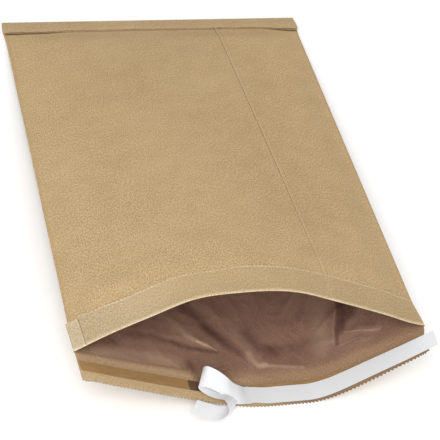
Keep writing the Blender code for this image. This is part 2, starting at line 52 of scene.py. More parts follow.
# The arch of the front: how far its top leans, and how sharply its feet leave the corners
CROWN_LEAN, CROWN_POWER = 0.889, 1.15
# Near the mouth the right side stands out a little
FLARE, FLARE_FROM = 0.0024, 0.88
# The overlap seam: place across the front, width, the run over which it thins out, and its step
SEAM, OVERLAP, SHOULDER, SEAM_STEP = 0.2259, 0.012, 0.003, 0.00022
# The cuff's loose tab, and the lean of the cuff's left end
TAB, TAB_SLIT, TAB_SHORTER = 0.0110, 0.0005, 0.0026
LEAN, LEAN_RUN, FOLD_SHIFT = 0.0028, 0.036, 0.3
TOOTH_DEPTH = 0.0012
LIP_TOOTH_DEPTH = 1.35 * TOOTH_DEPTH
# How much further the cuts reach at shares of the width
LIP_REACH = (
    (0.0, 0.0018), (0.035, 0.0), (0.42, -0.0005), (0.56, 0.0020), (0.74, 0.0018), (0.93, -0.0003),
    (1.0, -0.0008),
)
CUFF_REACH = (
    (0.0, 0.0035), (0.036, 0.0033), (0.075, 0.0), (0.14, -0.0018), (0.29, 0.0), (0.38, -0.0020),
    (0.47, 0.0), (1.0, 0.0),
)
FLAP_REACH = ((0.0, 0.0010), (0.11, 0.0006), (0.22, -0.0015), (0.84, -0.0012), (1.0, 0.0042))
# The glue and the liner: distance outside the mouth's fold, width, thickness, and the liner's overhang
GLUE_FROM, GLUE_WIDTH, GLUE_THICK = 0.0092, 0.0102, 0.00015
LINER_FROM, LINER_WIDTH, LINER_THICK, LINER_OVER = 0.0088, 0.018, 0.00016, 0.0086
# The liner lies a little narrower than it is cut, and lifts before the share of the width where it peels off
LINER_NARROWER, LINER_LIFT, LIFT_RUN, PEEL_AT = 0.0014, 0.0012, 0.055, 0.50
# Stations of the peeled half: place to the right of the peel and behind it, height over the lip, and turn and
# tilt of the ribbon in degrees
CURL = (
    (-0.0045, -0.0007, 0.0024, 4, 3),
    (-0.0092, -0.0011, 0.0036, 7, -4),
    (-0.0155, -0.0006, 0.0050, 6, -17),
    (-0.0216, 0.0022, 0.0082, 5, -28),
    (-0.0293, 0.0062, 0.0102, 5, -30),
    (-0.0368, 0.0093, 0.0100, 7, -25),
    (-0.0421, 0.0110, 0.0060, 21, -7),
    (-0.0405, 0.0076, 0.0046, 26, -2),
    (-0.0345, 0.0032, 0.0040, 28, 3),
    (-0.0274, -0.0010, 0.0043, 30, 14),
    (-0.0220, -0.0055, 0.0060, 35, 28),
    (-0.0190, -0.0113, 0.0055, 40, 27),
    (-0.0196, -0.0166, 0.0049, 38, 20),
    (-0.0253, -0.0202, 0.0027, 33, 18),
    (-0.0334, -0.0207, 0.0010, 28, 10),
    (-0.0437, -0.0198, 0.0013, 26, 9),
    (-0.0537, -0.0181, 0.0021, 31, 11),
)

# Height of the front over an even arch, at shares of the width at the mouth, and the run over which it fades
BEND = (
    (0.0, 0.0), (0.06, 0.0002), (0.20, -0.0016), (0.32, 0.0013), (0.44, -0.0007), (0.61, 0.0018),
    (0.72, 0.0005), (0.89, 0.0018), (0.965, 0.0), (1.0, 0.0),
)
BEND_RUN = 0.050

# Folds of the inner ply on the back: points by x and distance inside the mouth in mm, height in mm, and
# reach of the near and of the far slope in mm
FOLDS = (
    (((-92, 36), (-70, 35), (-47, 35.6), (-38.6, 34.4), (-29.7, 31.2), (-20.5, 27)), 1.3, 3.2, 12.0),
    (((-27, 76), (-18, 64), (-9.6, 53), (1, 37), (7, 24), (9, 14), (13.5, 10.5)), 1.1, 9.0, 16.0),
    (((11, 12), (19, 11.4), (35, 7.5), (50, 4.4)), 1.0, 3.6, 8.0),
    (((95, 62), (90, 49), (84, 33), (81, 18)), 1.1, 16.0, 7.0),
    (((87, 25), (100, 22), (118, 15)), 1.0, 3.0, 5.0),
    (((84, 13), (100, 14), (112, 11)), 0.6, 3.0, 4.0),
)
# Painted highlights on those folds, and painted shade in the hollows beside them and in the liner curl's
# shadow: points, reach in mm and strength
PAINTED_HIGHLIGHTS = (
    (((-47, 38), (-38, 35.2), (-29, 31.2)), 3.6, 0.42),
    (((-37, 33.8), (-20.3, 27)), 1.8, 0.68),
    (((-30, 80), (-14, 63), (-3, 51), (6, 37), (9, 22)), 10.0, 0.14),
    (((7, 23), (9.5, 15), (14, 10.5), (20, 10.8)), 4.6, 0.40),
    (((13, 10.8), (34, 7.6), (52, 4.2)), 3.2, 0.26),
    (((91, 53), (84.5, 33), (82, 18)), 1.6, 0.16),
    (((80, 62), (74, 40), (71, 18)), 14.0, 0.20),
    (((92, 26), (108, 20), (118, 15)), 1.6, 0.36),
    (((86, 15), (104, 15)), 1.8, 0.22),
    (((104, 24), (118, 17)), 4.5, 0.16),
    (((-64, 54), (-44, 40)), 8.0, 0.20),
    (((-30, 12), (-26, 13)), 9.0, 0.14),
    (((-128, 5), (-98, 8), (-60, 9.5)), 11.0, 0.30),
)
# Painted shade: the hollows beside the folds and the liner curl's shadow
PAINTED_SHADES = (
    (((-101, 29), (-81, 32), (-65, 29.2), (-47, 25.4)), 6.4, 0.50),
    (((-60, 28.4), (-47, 25.4), (-20, 25.2)), 3.8, 0.66),
    (((-46, 76), (-26.6, 50.6), (-12, 37)), 11.0, 0.56),
    (((-27, 51), (-12.9, 37.5), (2, 22.8)), 7.6, 0.66),
    (((9, 42), (16, 28), (30, 23.4)), 11.0, 0.74),
    (((28, 24), (68, 27)), 12.0, 0.45),
    (((0, 22.4), (4.7, 13.5)), 1.3, 0.35),
    (((98.5, 66), (95.5, 48), (90, 31)), 8.2, 0.94),
    (((94.5, 60), (92, 46), (87, 31), (84.5, 18)), 3.4, 0.70),
    (((-141, 0.5), (-52, 1.5)), 1.7, 0.30),
    (((107, 64), (101, 42)), 9.5, 0.72),
    (((-48, 9), (-44, -4)), 7.5, 0.55),
    (((-128, 24), (-112, 20)), 9.0, 0.30),
)


def smooth(x):
    x = min(max(x, 0.0), 1.0)
    return x * x * (3 - 2 * x)


def mix(a, b, k):
    return a + (b - a) * k


# The section of the envelope as in the CAD model, apart from what bend and a softer pad_depth add to the looks:
# t is the share of the width, and d the distance from the closed end
def pad_depth(t, d):
    across = smooth((min(t, 1 - t) * WIDTH - 0.004) / PAD_RUN)
    closed = smooth((d - 0.016) / PAD_RUN)
    mouth = smooth((LENGTH - 0.003 - d) / PAD_MOUTH_RUN)
    return PAD_RIM + PAD_GAIN * across * closed * mouth


def half_thickness(t, d):
    full = CAVITY + 2 * PLY + 2 * GAP + pad_depth(t, d)
    return mix(CAVITY_CLOSED + PLY, full, smooth(d / (0.75 * FLAP)))


def soft_ramp(x, soft):
    """From 0 at 0 to 1 at 1: a straight line with a round start."""
    return (math.hypot(x, soft) - soft) / (math.hypot(1.0, soft) - soft)


def floor_profile(t):
    if t < FLOOR_LEFT:
        return soft_ramp((FLOOR_LEFT - t) / FLOOR_LEFT, LEFT_BEND)
    if t > FLOOR_RIGHT:
        return soft_ramp((t - FLOOR_RIGHT) / (1 - FLOOR_RIGHT), RIGHT_BEND)
    return 0.0


def crown_profile(t):
    return max(math.sin(math.pi * t ** CROWN_LEAN), 0.0) ** CROWN_POWER


def arc_length(profile, height, chord):
    heights = [height * profile(i / 80) for i in range(81)]
    return sum(math.hypot(chord / 80, b - a) for a, b in zip(heights, heights[1:]))


def solve(function, target, low, high):
    for _ in range(40):
        middle = (low + high) / 2
        low, high = (middle, high) if function(middle) < target else (low, middle)
    return (low + high) / 2


# At the mouth both walls keep their length: the back's gives the chord, and with it the front's gives the crown
CHORD = solve(lambda c: arc_length(floor_profile, RISE, c), WIDTH - DRAW, WIDTH / 2, WIDTH)
CROWN = solve(lambda c: arc_length(crown_profile, c, CHORD), WIDTH - DRAW, 0.0, WIDTH / 2)


def section(d):
    """Height of the side creases, chord between them and height of the front's arch over them."""
    opened = max(d - RISE_START, 0.0) / (LENGTH - RISE_START)
    padded = WIDTH - DRAW * smooth(d / DRAW_RUN)
    chord = padded - (WIDTH - DRAW - CHORD) * opened - LIP_DRAW * max(d - LENGTH, 0.0) / LIP
    return RISE * opened, chord, CROWN * opened


def flare(t, d):
    """Shift of the right side to the right near the mouth."""
    cuffed = smooth((d - LENGTH + CUFF) / CUFF)
    gone = smooth((d - LENGTH) / 0.012)
    return FLARE * cuffed * (1 - gone) * smooth((t - FLARE_FROM) / (1 - FLARE_FROM))


def bend(t, d):
    """At the mouth the front isn't an even arch: it has a shoulder at the left and is straighter beside it."""
    return reach(BEND, t) * smooth((d - LENGTH + BEND_RUN) / BEND_RUN)


def middle_line(side, t, d):
    """x and z of the middle of a wall."""
    height, chord, crown = section(d)
    z = height + crown * crown_profile(t) + bend(t, d) if side == "front" else height * floor_profile(t)
    return chord * (t - 0.5) + flare(t, d), z + half_thickness(t, d)


def along(side, t, d):
    """y of a row: every line from the closed end to the mouth keeps its length as it climbs."""
    rise = RISE + CROWN * crown_profile(t) if side == "front" else RISE * floor_profile(t)
    return LENGTH - d * math.sqrt(1 - (rise / LENGTH) ** 2)


def outward(side, t, d):
    """The direction in x and z that points out of a wall."""
    ax, az = middle_line(side, max(t - 0.002, 0.0), d)
    bx, bz = middle_line(side, min(t + 0.002, 1.0), d)
    size = math.hypot(bx - ax, bz - az)
    nx, nz = -(bz - az) / size, (bx - ax) / size
    return (nx, nz) if side == "front" else (-nx, -nz)


def panel_point(side, t, d, depth):
    """A point of a wall, at a depth below its outer face."""
    x, z = middle_line(side, t, d)
    nx, nz = outward(side, t, d)
    away = half_thickness(t, d) - depth
    return Vector((x + nx * away, along(side, t, d), z + nz * away))


def crease_point(right, turn, d, depth):
    """A point on the round of a side crease, from the back at turn 0 to the front at turn 1."""
    t = 1.0 if right else 0.0
    x, z = middle_line("back", t, d)
    bx, bz = outward("back", t, d)
    fx, fz = outward("front", t, d)
    start, end = math.atan2(bz, bx), math.atan2(fz, fx)
    if not right:
        start += 2 * math.pi
    angle = mix(start, end, turn)
    away = half_thickness(t, d) - depth
    return Vector((x + math.cos(angle) * away, along("back", t, d), z + math.sin(angle) * away))


def reach(cut, t):
    """How much further a cut reaches at the share t of the width."""
    for (a, low), (b, high) in zip(cut, cut[1:]):
        if t <= b:
            return mix(low, high, smooth((t - a) / (b - a)))
    return cut[-1][1]


def leaned_point(t, d, depth, lean):
    """A point over the front, moved to the left by the lean and past the side if need be."""
    place = t - lean / WIDTH
    return panel_point("front", max(place, 0.0), d, depth) + Vector((min(place, 0.0) * WIDTH, 0, 0))


def loop_point(column, d, depth):
    """A point of the tube. A column is a wall's name and a share, or a crease's name and a turn."""
    place, value = column
    if place in ("front", "back"):
        return panel_point(place, value, d, depth)
    return crease_point(place == "right", value, d, depth)


# What the CAD model leaves to the looks
def rim_fade(t, run=0.02):
    return smooth(min(t, 1 - t) * WIDTH / run)


def swell(t, d):
    """Outward waviness of the outer ply of the front over its padding."""
    x, y = t * WIDTH, d
    broad = noise.noise(Vector((x * 13, y * 7, 1.3)))
    fine = noise.noise(Vector((x * 38, y * 24, 7.1)))
    level = 0.00055 + 0.00055 * broad + 0.00020 * fine
    return max(level, 0.0) * rim_fade(t) * smooth((d - FLAP) / 0.03) * smooth((LENGTH - 0.002 - d) / 0.05)


def seam_height(t):
    """Step of the overlap seam."""
    past = t * WIDTH - SEAM
    if past < 0.00015:
        return 0.0
    return SEAM_STEP * (1 - smooth((past - OVERLAP + SHOULDER) / SHOULDER))


def fold_height(x, s):
    """Height of the folds of the inner ply at x across and s inside the mouth, in mm."""
    total = 0.0
    for points, height, near, far in FOLDS:
        best = None
        count = len(points) - 1
        for i in range(count):
            (ax, ay), (bx, by) = points[i], points[i + 1]
            dx, dy = bx - ax, by - ay
            k = ((x - ax) * dx + (s - ay) * dy) / (dx * dx + dy * dy)
            k = min(max(k, 0.0), 1.0)
            px, py = x - ax - dx * k, s - ay - dy * k
            gap = math.hypot(px, py)
            if best is None or gap < best[0]:
                best = (gap, dx * py - dy * px, (i + k) / count)
        gap, side, place = best
        strong = smooth(place / 0.5) * (1 - 0.9 * smooth((place - 0.86) / 0.14))
        total += height * strong * math.exp(-(gap / (far if side > 0 else near)) ** 1.3)
    return total


def crumple(t, d):
    """Rise of the inner ply of the back above its padding, in metres."""
    x = (t - 0.5) * section(d)[1] * 1000
    s = (LENGTH - d) * 1000
    fade = rim_fade(t, 0.03) * smooth((s + 5) / 9)
    if fade <= 0:
        return 0.0
    angle = math.atan2(s + 14, x - 14)
    far = math.hypot(s + 14, x - 14)
    rays = 1 - abs(noise.noise(Vector((angle * 4.2, far * 0.012, 2.0))))
    broad = noise.noise(Vector((x * 0.030, s * 0.034, 4.0)))
    fine = 1 - abs(noise.noise(Vector((x * 0.11 + 3, s * 0.08, 9.0))))
    rise = fold_height(x, s) + 0.9 * smooth((far - 40) / 60) * rays ** 4 + 0.8 * broad + 0.3 * fine ** 3 + 0.3
    return max(rise, -0.25) * fade * 0.001


def inner_depth(t, d):
    """Depth of the inner ply below the outer face: on the lip it comes down on the outer ply."""
    walled = PLY + 2 * GAP + pad_depth(t, d)
    return mix(walled, PLY + GAP, smooth((d - LENGTH) / GLUE_FROM))


def wrinkle(t, d):
    """Small wrinkles of the inner ply of the front."""
    x, y = t * WIDTH, d
    level = 1 - abs(noise.noise(Vector((x * 22, y * 12, 31.0))))
    return 0.0011 * level ** 4 * rim_fade(t, 0.03) * smooth((LENGTH - 0.004 - d) / 0.03)


# Meshes
SHARP_DEGREES = 48


class Sheet:
    """A sheet with two skins, closed by walls along its free edges. uv holds metres on the flat sheet."""

    def __init__(self):
        self.outer, self.inner, self.uv, self.tone, self.faces = [], [], [], [], []

    def point(self, outer, inner, uv, tone=0.0):
        self.outer.append(Vector(outer))
        self.inner.append(Vector(inner))
        self.uv.append(uv)
        self.tone.append(tone)
        return len(self.outer) - 1

    def join(self, first, second, closed=False, skip=()):
        count = len(first)
        for i in range(count if closed else count - 1):
            if i not in skip:
                j = (i + 1) % count
                self.faces.append((first[i], first[j], second[j], second[i]))

    def build(self, name, materials, node):
        count = len(self.outer)
        faces = list(self.faces) + [tuple(i + count for i in reversed(f)) for f in self.faces]
        edges = {}  # a dict keeps their order
        for face in self.faces:
            for a, b in zip(face, face[1:] + face[:1]):
                edges[(a, b)] = 1
        faces += [(b, a, a + count, b + count) for a, b in edges if (b, a) not in edges]
        mesh = bpy.data.meshes.new(name)
        mesh.from_pydata([tuple(p + SHIFT) for p in self.outer + self.inner], [], faces)
        uv = mesh.uv_layers.new(name="paper")
        flat = self.uv + self.uv
        for loop, item in zip(mesh.loops, uv.data):
            item.uv = flat[loop.vertex_index]
        tone = mesh.attributes.new("tone", "FLOAT", "POINT")
        tone.data.foreach_set("value", self.tone + self.tone)
        for made in materials:
            mesh.materials.append(made)
        if len(materials) > 1:
            for polygon in mesh.polygons:
                polygon.material_index = 0 if polygon.index < len(self.faces) else 1
        edit = bmesh.new()
        edit.from_mesh(mesh)
        bmesh.ops.delete(edit, geom=[v for v in edit.verts if not v.link_faces], context="VERTS")
        bmesh.ops.recalc_face_normals(edit, faces=edit.faces)
        if edit.calc_volume(signed=True) < 0:
            bmesh.ops.reverse_faces(edit, faces=edit.faces)
        edit.to_mesh(mesh)
        edit.free()
        mesh.shade_smooth()
        mesh.set_sharp_from_angle(angle=math.radians(SHARP_DEGREES))
        piece = bpy.data.objects.new(name, mesh)
        bpy.context.collection.objects.link(piece)
        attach(piece, "root")
        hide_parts(node)
        return piece


def shares(count, marks=()):
    """Columns of a panel, closer together at its sides."""
    side = [0.0, 0.0035, 0.008, 0.014, 0.020, 0.0255, 0.034, 0.044, 0.054]
    plain = [mix(0.063, 0.937, i / count) for i in range(count + 1)]
    plain = side[1:] + plain + [1 - t for t in side[1:]]
    kept = [t for t in plain if all(abs(t - m) > 0.0012 for m in marks)]
    return sorted([0.0, 1.0] + kept + list(marks))


# Columns that the front needs: both sides of the tab's slit, and the edges of the seam
MARKS = (
    (TAB - TAB_SLIT / 2) / WIDTH,
    (TAB + TAB_SLIT / 2) / WIDTH,
    (SEAM - 0.0002) / WIDTH,
    (SEAM + 0.0002) / WIDTH,
    (SEAM + OVERLAP - SHOULDER) / WIDTH,
    (SEAM + OVERLAP) / WIDTH,
)
FRONT = shares(84, MARKS)
BACK = shares(84)
CREASE_STEPS = 8
# Places across the unrolled tube: the front's end, the right crease, the back's start and the left crease
FRONT_END, RIGHT_CREASE, BACK_START, LEFT_CREASE = 0.32, 0.3213, 0.325, 0.6463


def loop_columns(front, back):
    columns = [("front", t) for t in front]
    columns += [("right", 1 - i / CREASE_STEPS) for i in range(1, CREASE_STEPS)]
    columns += [("back", t) for t in reversed(back)]
    return columns + [("left", i / CREASE_STEPS) for i in range(1, CREASE_STEPS)]


def share_of(column):
    if column[0] in ("front", "back"):
        return column[1]
    return 1.0 if column[0] == "right" else 0.0


def u_of(column):
    """Place across the unrolled tube."""
    place, value = column
    if place == "front":
        return value * WIDTH
    if place == "back":
        return BACK_START + (1 - value) * WIDTH
    return RIGHT_CREASE if place == "right" else LEFT_CREASE


def fold_back(start, forward, up, radius, angle):
    """A point on the round of a fold that starts forward and turns up and back."""
    return start + forward * (radius * math.sin(angle)) + up * (radius * (1 - math.cos(angle)))


def steps(low, high, count):
    """Even steps, with both ends."""
    return [mix(low, high, i / count) for i in range(count + 1)]


FLAP_ROWS = steps(0.0, FLAP, 7)
BODY_ROWS = steps(FLAP, 0.046, 6)[1:] + steps(0.046, LENGTH - CUFF - 0.004, 78)[1:]
CUFF_ROWS = steps(LENGTH - CUFF + 0.0022, LENGTH, 9)
NARROW_SPAN = 0.0016
FOLD_STEPS, CUFF_FOLD_STEPS = 8, 6
# How far the bottom flap lifts at its left and its right end, and over which width
LIFT_LEFT, LIFT_LEFT_RUN, LIFT_RIGHT, LIFT_RIGHT_RUN = 0.0010, 0.070, 0.0016, 0.044


def saw(sheet, row, valleys, tips, uvs, depth_v, kept, tone=1.0):
    """Teeth along a cut: one for each span between two columns, apart from the narrow spans."""
    ends = [sheet.point(*valleys[i], uvs[i], tone) for i in range(len(row))]
    for i in range(len(row) - 1):
        if not kept(i):
            continue
        span = (Vector(valleys[i][0]) - Vector(valleys[i + 1][0])).length
        cut = [ends[i]]
        if span > NARROW_SPAN:
            tip = [Vector(tips[i][k]).lerp(Vector(tips[i + 1][k]), 0.5) for k in (0, 1)]
            u = (uvs[i][0] + uvs[i + 1][0]) / 2
            cut.append(sheet.point(tip[0], tip[1], (u, uvs[i][1] + depth_v), tone))
        cut.append(ends[i + 1])
        sheet.faces.append((row[i], row[i + 1], *reversed(cut)))


def flap_lift(t, d):
    left = LIFT_LEFT * (1 - smooth(t * WIDTH / LIFT_LEFT_RUN))
    right = LIFT_RIGHT * (1 - smooth((1 - t) * WIDTH / LIFT_RIGHT_RUN))
    ripple = 0.00035 * max(noise.noise(Vector((t * 17, 3.3, 0.0))) + 0.25, 0.0)
    return (left + right + ripple) * (d / FLAP) ** 1.5


def build_wrapper(materials):
    """The outer ply: the tube, the bottom flap turned over the front, the cuff turned back, and the lip."""
    sheet = Sheet()
    columns = loop_columns(FRONT, BACK)
    front_count = len(FRONT)
    back_start = front_count + CREASE_STEPS - 1

    def skins(column, d):
        side, t = column
        seam, wave = (seam_height(t), swell(t, d)) if side == "front" else (0.0, 0.0)
        return loop_point(column, d, -(seam + wave)), loop_point(column, d, PLY - wave)

    rows = []
    for d in FLAP_ROWS + BODY_ROWS + CUFF_ROWS:
        rows.append([sheet.point(*skins(c, d), (u_of(c), d)) for c in columns])
    for first, second in zip(rows, rows[1:]):
        sheet.join(first, second, closed=True)

    # bottom flap
    top = loop_point(("front", 0.5), 0.0, 0.0).z
    axis = top + GAP / 2
    previous = rows[0]
    for i in range(1, FOLD_STEPS + 1):
        row = []
        angle = math.pi * i / FOLD_STEPS
        for c in columns:
            pair = []
            for depth in (0.0, PLY):
                start = loop_point(c, 0.0, depth)
                pair.append(fold_back(start, Vector((0, 1, 0)), Vector((0, 0, 1)), axis - start.z, angle))
            row.append(sheet.point(*pair, (u_of(c), -0.0002 * i)))
        sheet.join(row, previous, closed=True)
        previous = row
    for d in FLAP_ROWS[1:]:
        row = []
        for c in columns:
            t = share_of(c)
            place = d * (1 + reach(FLAP_REACH, t) / FLAP)
            under = panel_point("front", t, place, -seam_height(t) - swell(t, place))
            base = under.z + GAP + flap_lift(t, d)
            pair = []
            for depth in (0.0, PLY):
                start = loop_point(c, 0.0, depth)
                pair.append(Vector((start.x, under.y, base + top - start.z)))
            row.append(sheet.point(*pair, (u_of(c), -0.0016 - d)))
        sheet.join(row, previous, closed=True)
        previous = row

    # cuff
    slit = FRONT.index(MARKS[0])
    normals = []
    for t in FRONT:
        nx, nz = outward("front", t, LENGTH)
        normals.append(Vector((nx, 0, nz)))

    def lean(i):
        return LEAN * (1 - smooth((FRONT[i] * WIDTH - TAB) / (LEAN_RUN - TAB)))

    previous = rows[-1][:front_count]
    forward = Vector((0, -1, 0))
    for step in range(1, CUFF_FOLD_STEPS + 1):
        row = []
        angle = math.pi * step / CUFF_FOLD_STEPS
        for i, t in enumerate(FRONT):
            seam = seam_height(t)
            leaned = lean(i) * FOLD_SHIFT * step / CUFF_FOLD_STEPS
            outer = leaned_point(t, LENGTH, -seam, leaned)
            inner = leaned_point(t, LENGTH, PLY, leaned)
            # Tone 1 on the round of the mouth's fold: a painted highlight
            row.append(sheet.point(
                fold_back(outer, forward, normals[i], GAP / 2, angle),
                fold_back(inner, forward, normals[i], GAP / 2 + PLY + seam, angle),
                (t * WIDTH, LENGTH + 0.00015 * step), 1.0))
        sheet.join(previous, row)
        previous = row

    def laid(i, d):
        t = FRONT[i]
        back = (LENGTH - d) / CUFF
        place = d + ((TAB_SHORTER if i <= slit else 0.0) - reach(CUFF_REACH, t)) * back
        wave = 0.00028 * max(noise.noise(Vector((t * 21, 8.8, back))) + 0.1, 0.0)
        lift = (0.0005 + wave if i > slit else 0.0003) * min(back, 1.0)
        seam = seam_height(t) * 0.6
        leaned = lean(i) * mix(FOLD_SHIFT, 1.0, back)
        over = seam + GAP + lift + swell(max(t - leaned / WIDTH, 0.0), place)
        return leaned_point(t, place, -over, leaned), leaned_point(t, place, -over - seam - PLY, leaned)

    for d in reversed(CUFF_ROWS[:-1]):
        row = [sheet.point(*laid(i, d), (t * WIDTH, 2 * LENGTH - d)) for i, t in enumerate(FRONT)]
        sheet.join(previous, row, skip=(slit,))
        previous = row
    cut = LENGTH - CUFF
    saw(sheet, previous, [laid(i, cut + TOOTH_DEPTH) for i in range(front_count)],
        [laid(i, cut) for i in range(front_count)],
        [(t * WIDTH, LENGTH + CUFF - TOOTH_DEPTH) for t in FRONT], TOOTH_DEPTH, lambda i: i != slit)

    # lip
    previous = rows[-1][back_start:back_start + len(BACK)]
    order = list(reversed(BACK))

    def lip_skins(t, d):
        curl = 0.00025 * noise.noise(Vector((t * 15, 5.5, 0.0))) * smooth((d - LENGTH - 0.012) / 0.018)
        depth = min(curl, 0.0)
        return panel_point("back", t, d, depth), panel_point("back", t, d, PLY + depth)

    end = LENGTH + LIP
    for d in steps(LENGTH, end - 0.0028, 12)[1:]:
        row = [sheet.point(*lip_skins(t, d), (u_of(("back", t)), d)) for t in order]
        sheet.join(previous, row)
        previous = row
    cut = [end + reach(LIP_REACH, t) for t in order]
    saw(sheet, previous, [lip_skins(t, v - LIP_TOOTH_DEPTH) for t, v in zip(order, cut)],
        [lip_skins(t, v) for t, v in zip(order, cut)],
        [(u_of(("back", t)), v - LIP_TOOTH_DEPTH) for t, v in zip(order, cut)],
        LIP_TOOTH_DEPTH, lambda i: True, -1.0)
    return sheet.build("outer_ply", materials, "outer_wrapper")


def build_inner(materials):
    """The inner ply: a tube from inside the closed end to the mouth, whose back runs on over the lip."""
    sheet = Sheet()
    coarse, fine = shares(60), shares(200)
    columns = loop_columns(coarse, fine)
    back_start = len(coarse) + CREASE_STEPS - 1
    rows_at = [0.75 * FLAP + 0.0002, FLAP]
    rows_at += steps(FLAP, 0.38, 24)[1:] + steps(0.38, LENGTH - 0.0004, 84)[1:]

    def skins(column, d):
        t = share_of(column)
        uneven = {"back": crumple, "front": wrinkle}.get(column[0])
        rise = uneven(t, d) if uneven else 0.0
        depth = inner_depth(t, d) + rise * smooth((d - FLAP) / 0.03)
        return loop_point(column, d, depth), loop_point(column, d, depth + PLY), (u_of(column), d)

    rows = [[sheet.point(*skins(c, d)) for c in columns] for d in rows_at]
    for first, second in zip(rows, rows[1:]):
        sheet.join(first, second, closed=True)
    previous = rows[-1][back_start:back_start + len(fine)]
    for d in steps(LENGTH, LENGTH + LIP - 0.003, 16)[1:]:
        row = [sheet.point(*skins(("back", t), d)) for t in reversed(fine)]
        sheet.join(previous, row)
        previous = row
    return sheet.build("inner_ply", materials, "inner_liner")


def build_pad(side, node, material):
    """A mat of padding, with a lumpy inner face."""
    sheet = Sheet()
    margin = 0.004 / WIDTH
    columns = [t for t in shares(60) if margin < t < 1 - margin]
    previous = None
    for d in steps(FLAP, LENGTH - 0.006, 90):
        row = []
        for t in columns if side == "front" else reversed(columns):
            deep = pad_depth(t, d)
            lump = 0.25 * max(noise.noise(Vector((t * 60, d * 90, 3.0))), 0.0)
            outer = panel_point(side, t, d, PLY + GAP)
            inner = panel_point(side, t, d, PLY + GAP + deep * (1 - lump))
            row.append(sheet.point(outer, inner, (t * WIDTH, d)))
        if previous:
            sheet.join(previous, row)
        previous = row
    piece = sheet.build(node + "_mat", [material], node)


def lip_surface(t, from_mouth, height):
    """A point over the lip, outside the mouth's fold. Past the right corner the surface runs straight on."""
    inside = min(max(t, 0.0), 1.0)
    depth = inner_depth(inside, LENGTH + from_mouth) + PLY
    base = panel_point("back", inside, LENGTH + from_mouth, depth + height)
    if t > 1.0:
        back = panel_point("back", 0.995, LENGTH + from_mouth, depth + height)
        base = base + (base - back).normalized() * ((t - 1.0) * WIDTH)
    return base


def lip_height(x, y):
    """Height of the lip's surface at a place seen from above, held at the lip's edges."""
    from_mouth = min(max(-y, 0.0), LIP)
    chord = section(LENGTH + from_mouth)[1]
    return lip_surface(min(max(x / chord + 0.5, 0.0), 1.0), from_mouth, 0.0).z


def build_glue(material):
    """The strip of glue across the lip."""
    sheet = Sheet()
    margin = 0.001 / WIDTH
    previous = None
    for k in range(7):
        from_mouth = GLUE_FROM + GLUE_WIDTH * k / 6
        row = []
        for t in [1 - margin] + [t for t in reversed(BACK) if margin < t < 1 - margin] + [margin]:
            thick = GLUE_THICK * (0.8 + 0.25 * noise.noise(Vector((t * 70, k * 0.7, 0.0))))
            under, top = lip_surface(t, from_mouth, GAP), lip_surface(t, from_mouth, GAP + thick)
            row.append(sheet.point(under, top, (t * WIDTH, from_mouth)))
        if previous:
            sheet.join(previous, row)
        previous = row
    sheet.build("glue_strip", [material], "adhesive_strip")


def liner_sag(t):
    """How much further out the liner lies in the middle of the lip."""
    return (0.0013 + 0.0011 * smooth((t - PEEL_AT) / 0.05)) * (1 - smooth((t - 0.68) / 0.20))


def between(stations, i, k):
    """A point on the smooth curve through the stations, at the share k from station i to the next."""
    a, b, c, d = (stations[min(max(j, 0), len(stations) - 1)] for j in (i - 1, i, i + 1, i + 2))
    return (2 * b + (c - a) * k + (2 * a - 5 * b + 4 * c - d) * k ** 2 + (3 * b - a - 3 * c + d) * k ** 3) / 2


def build_liner(materials):
    """The release liner, and its length: it lies on the glue from the right end to the peel, then curls."""
    height = 2 * GAP + GLUE_THICK + LINER_THICK / 2
    stations = []
    for t in [1 + LINER_OVER / WIDTH, 1.0] + [t for t in reversed(BACK) if PEEL_AT + 0.01 < t < 1] + [PEEL_AT]:
        start = LINER_FROM + liner_sag(t)
        lift = LINER_LIFT * (1 - smooth((t - PEEL_AT) / LIFT_RUN))
        far = lip_surface(t, start + LINER_NARROWER, height + lift / 2)
        near = lip_surface(t, start + LINER_WIDTH, height + lift)
        stations.append(((far + near) / 2, (near - far) / 2))
    peel, lying = stations[-1][0], len(stations)
    for right, behind, rise, heading, tilt in CURL:
        x, y = peel.x + right, peel.y + behind
        turn, lean = math.radians(heading), math.radians(tilt)
        level = math.cos(lean)
        across = Vector((-math.sin(turn) * level, -math.cos(turn) * level, math.sin(lean)))
        stations.append((Vector((x, y, lip_height(x, y) + rise)), across * (LINER_WIDTH / 2)))
    middles, halves = [s[0] for s in stations], [s[1] for s in stations]
    route = stations[:lying]
    for i in range(lying - 1, len(stations) - 1):
        for k in steps(0.0, 1.0, 8)[1:]:
            half = between(halves, i, k).normalized() * (LINER_WIDTH / 2)
            route.append((between(middles, i, k), half))
    sheet = Sheet()
    previous = None
    run = 0.0
    for i, (middle, half) in enumerate(route):
        before, after = route[max(i - 1, 0)][0], route[min(i + 1, len(route) - 1)][0]
        if i:
            run += (middle - before).length
        normal = half.cross(after - before).normalized()
        row = []
        for k in range(9):
            across = k / 4 - 1
            base = middle + half * across
            row.append(sheet.point(base + normal * LINER_THICK / 2, base - normal * LINER_THICK / 2,
                                   (run, across * LINER_WIDTH / 2)))
        if previous:
            sheet.join(previous, row)
        previous = row
    return sheet.build("liner_ribbon", materials, "release_liner"), run


# Materials, and the colours that lines, cuts and wear bring into the papers, and those of painted shadow, shade
# and highlights
SPECK, SIDE_BROWN, FLAP_SHADOW = (0.20, 0.11, 0.045), (0.36, 0.20, 0.075), (0.055, 0.028, 0.018)
SEAM_DARK, SEAM_PALE, SEAM_HOLLOW = (0.12, 0.075, 0.035), (0.72, 0.58, 0.38), (0.17, 0.11, 0.05)
CUT_DARK, CUT_PALE, LIP_SHADE = (0.20, 0.115, 0.055), (0.80, 0.68, 0.48), (0.235, 0.140, 0.078)
SHADE_BROWN, HIGHLIGHT_BROWN = (0.095, 0.044, 0.033), (0.56, 0.405, 0.275)


